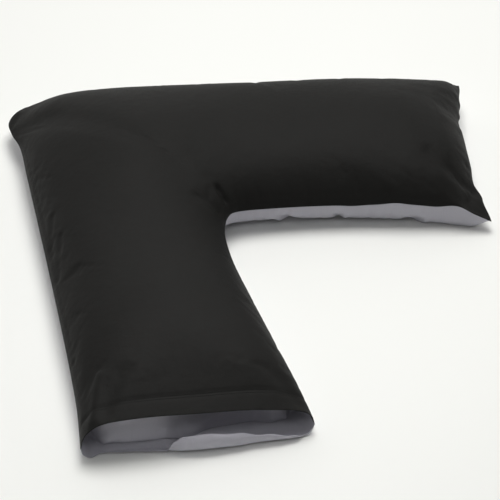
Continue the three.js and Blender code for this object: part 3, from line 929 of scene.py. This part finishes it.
def cotton(name, dark, light, gloss, smooth, relief):
    """Plain-weave cotton: crossing threads, slubs along both thread directions, and faint broad creasing."""
    n = Nodes(name)
    uv = n.add("ShaderNodeUVMap", uv_map="cloth").outputs[0]
    weave = plain_weave(n, uv)
    slub_warp = n.noise(n.stretched(uv, (SLUBS_ACROSS, SLUBS_ALONG, 1)), 1.0, 4.0)
    slub_weft = n.noise(n.stretched(uv, (SLUBS_ALONG, SLUBS_ACROSS, 1)), 1.0, 4.0)
    slubs = n.math("ADD", slub_warp, slub_weft)
    patches = n.noise(uv, PATCHES, 4.0, 0.6)
    creasing = n.noise(uv, CREASING, 5.0, 0.62)

    tone = n.math("ADD", n.math("MULTIPLY", slubs, SLUB_TONE), n.math("MULTIPLY", patches, PATCH_TONE))
    tone = n.math("SUBTRACT", tone, TONE_SHIFT)
    tone = n.math("ADD", tone, n.math("MULTIPLY", weave, THREAD_TONE))
    tone = n.add("ShaderNodeClamp", {"Value": tone}).outputs[0]

    threads = n.math("ADD", n.math("MULTIPLY", weave, THREAD_RELIEF), n.math("MULTIPLY", slubs, SLUB_RELIEF))
    broad = n.add("ShaderNodeBump", {"Height": creasing, "Strength": relief, "Distance": CREASING_HEIGHT})
    fine = n.add("ShaderNodeBump", {
        "Height": threads,
        "Strength": THREAD_STRENGTH,
        "Distance": THREAD_HEIGHT,
        "Normal": broad.outputs[0],
    })
    surface = n.add("ShaderNodeBsdfPrincipled", {
        "Base Color": n.mix(tone, (*dark, 1), (*light, 1)),
        "Roughness": n.math("ADD", smooth, n.math("MULTIPLY", slubs, SLUB_ROUGHNESS)),
        "Specular IOR Level": gloss,
        "Normal": fine.outputs[0],
    })
    return n.finish(surface.outputs[0])


def pale_floor():
    n = Nodes("floor")
    spot = n.add("ShaderNodeTexCoord").outputs["Object"]
    surface = n.add("ShaderNodeBsdfPrincipled", {
        "Base Color": n.mix(n.noise(spot, FLOOR_PATCHES, 2.0), FLOOR_DARK, FLOOR_LIGHT),
        "Roughness": 0.9,
        "Specular IOR Level": 0.05,
    })
    return n.finish(surface.outputs[0])


# Camera: its direction in degrees, its lens, and the point that it looks at from that far away
AZIMUTH = -9.871
ELEVATION = 42.275
LENS = 206.47
SENSOR = 36.0
CLIP = (0.1, 50.0)
LOOK_AT = np.array([349.7, -336.0, 0.0])
AWAY = 4643.0

# Light, in metres and watts: a sky that is bright on one side, a broad light above and a dim one in front
SKY_COLOUR = (1.0, 1.0, 0.985, 1)
SKY_FROM = np.array([0.1, 0.98, 0.1])
SKY_RANGE = (-0.1, 0.7)
SKY_STRENGTH = (0.14, 0.8)
KEY = dict(
    at=(0.42, 0.45, 2.75),
    to=(0.18, -0.18, 0.0),
    size=1.5,
    power=62,
    colour=(1.0, 0.995, 0.975),
    spread=180,
)
FILL = dict(
    at=(-0.15, -1.7, 2.3),
    to=(-0.02, -0.66, 0.0),
    size=1.0,
    power=0.42,
    colour=(1.0, 1.0, 1.0),
    spread=28,
)

FLOOR_CORNERS = ((-1, -1), (1, -1), (1, 1), (-1, 1))
FLOOR_REACH = 6.0
FLOOR_DROP = 0.0004


def facing(back):
    """Turns a camera or a light to look against the direction back."""
    back = unit(np.array(back, float))
    right = unit(np.cross((0.0, 0.0, 1.0), back))
    up = np.cross(back, right)
    return Matrix([[right[k], up[k], back[k]] for k in range(3)]).to_4x4()


def set_camera():
    az, el = math.radians(AZIMUTH), math.radians(ELEVATION)
    back = np.array([math.sin(az) * math.cos(el), -math.cos(az) * math.cos(el), math.sin(el)])
    data = bpy.data.cameras.new("camera")
    data.sensor_width = SENSOR
    data.lens = LENS
    data.clip_start, data.clip_end = CLIP
    camera = linked("camera", data)
    camera.matrix_world = Matrix.Translation(metres(LOOK_AT + back * AWAY)) @ facing(back)
    bpy.context.scene.camera = camera


def area_light(name, at, to, size, power, colour, spread):
    data = bpy.data.lights.new(name, "AREA")
    data.shape = "RECTANGLE"
    data.size = data.size_y = size
    data.energy = power
    data.color = colour
    data.spread = math.radians(spread)
    light = linked(name, data)
    light.matrix_world = Matrix.Translation(at) @ facing(np.array(at) - np.array(to))


def set_sky():
    sky = bpy.data.worlds.new("studio")
    sky.use_nodes = True
    tree = sky.node_tree
    background = tree.nodes["Background"]
    background.inputs["Color"].default_value = SKY_COLOUR
    direction = tree.nodes.new("ShaderNodeTexCoord")
    towards = tree.nodes.new("ShaderNodeVectorMath")
    towards.operation = "DOT_PRODUCT"
    towards.inputs[1].default_value = unit(SKY_FROM)
    ramp = tree.nodes.new("ShaderNodeMapRange")
    ramp.interpolation_type = "SMOOTHSTEP"
    ramp.inputs["From Min"].default_value, ramp.inputs["From Max"].default_value = SKY_RANGE
    ramp.inputs["To Min"].default_value, ramp.inputs["To Max"].default_value = SKY_STRENGTH
    tree.links.new(direction.outputs["Generated"], towards.inputs[0])
    tree.links.new(towards.outputs["Value"], ramp.inputs["Value"])
    tree.links.new(ramp.outputs[0], background.inputs["Strength"])
    bpy.context.scene.world = sky


def set_light():
    set_sky()
    area_light("key", **KEY)
    area_light("fill", **FILL)
    bpy.context.scene.view_settings.view_transform = "Standard"


def set_floor():
    mesh = bpy.data.meshes.new("floor")
    corners = [(x * FLOOR_REACH, y * FLOOR_REACH, -FLOOR_DROP) for x, y in FLOOR_CORNERS]
    mesh.from_pydata(corners, [], [(0, 1, 2, 3)])
    floor = linked("floor", mesh)
    floor.data.materials.append(pale_floor())


# The pillow. The inside of the cloth shows only near the mouth, so it has only these rows behind the rim.
FRONT_INSIDE_ROWS = 16
BACK_INSIDE_ROWS = LIP_ROWS + 10


def build():
    coarse = Layout(even_rows(), crowded_columns(COLUMNS))
    front_moves = np.zeros(coarse.sheet.shape)
    back_moves = np.zeros(coarse.sheet.shape)
    front_moves, back_moves = simulate(coarse.creased("front"), coarse.creased("back"), coarse)
    fine = Layout(halved(coarse.rows), halved(coarse.across))
    front = front_shape(fine, finer(finer(front_moves, 0), 1))
    back = back_shape(fine, finer(finer(back_moves, 0), 1))
    first_row = int(np.argmax(fine.xy[:, 0, 1] > RIM_Y + LIP_REACHES_IN))
    back = np.concatenate([lip_grid(fine.across), back[first_row:]])
    swell = lip_swell(fine.across[None, :], back[..., 1])

    case_front = cloth_object("case_front", with_rim(front, FRONT_INSIDE_ROWS, "front"))
    case_back = cloth_object("case_back", with_rim(back, BACK_INSIDE_ROWS, "back", swell), turned=True)
    case_flap = cloth_object("case_flap", flap_points())
    stitches = new_object("hem_stitches", *stitch_rows(front))
    return case_front, case_back, case_flap, stitches


def main():
    set_camera()
    case_front, case_back, case_flap, stitches = build()
    black = cotton("black_cotton", relief=0.3, **BLACK_COTTON)
    grey = cotton("grey_cotton", relief=0.3, **GREY_COTTON)
    flap_grey = cotton("flap_cotton", relief=0.4, **GREY_COTTON)
    thread = cotton("black_thread", relief=0.1, **BLACK_COTTON)
    stitches.data.uv_layers.new(name="cloth")
    parts = [
        (case_front, black, "front_cloth"),
        (case_back, grey, "back_cloth"),
        (case_flap, flap_grey, "flap_cloth"),
        (stitches, thread, "front_cloth"),
    ]
    for piece, material, slot in parts:
        piece.data.materials.append(material)
        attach(piece, "root")
    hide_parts("front_panel")
    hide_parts("back_panel")
    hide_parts("end_flap")
    set_floor()
    set_light()


main()
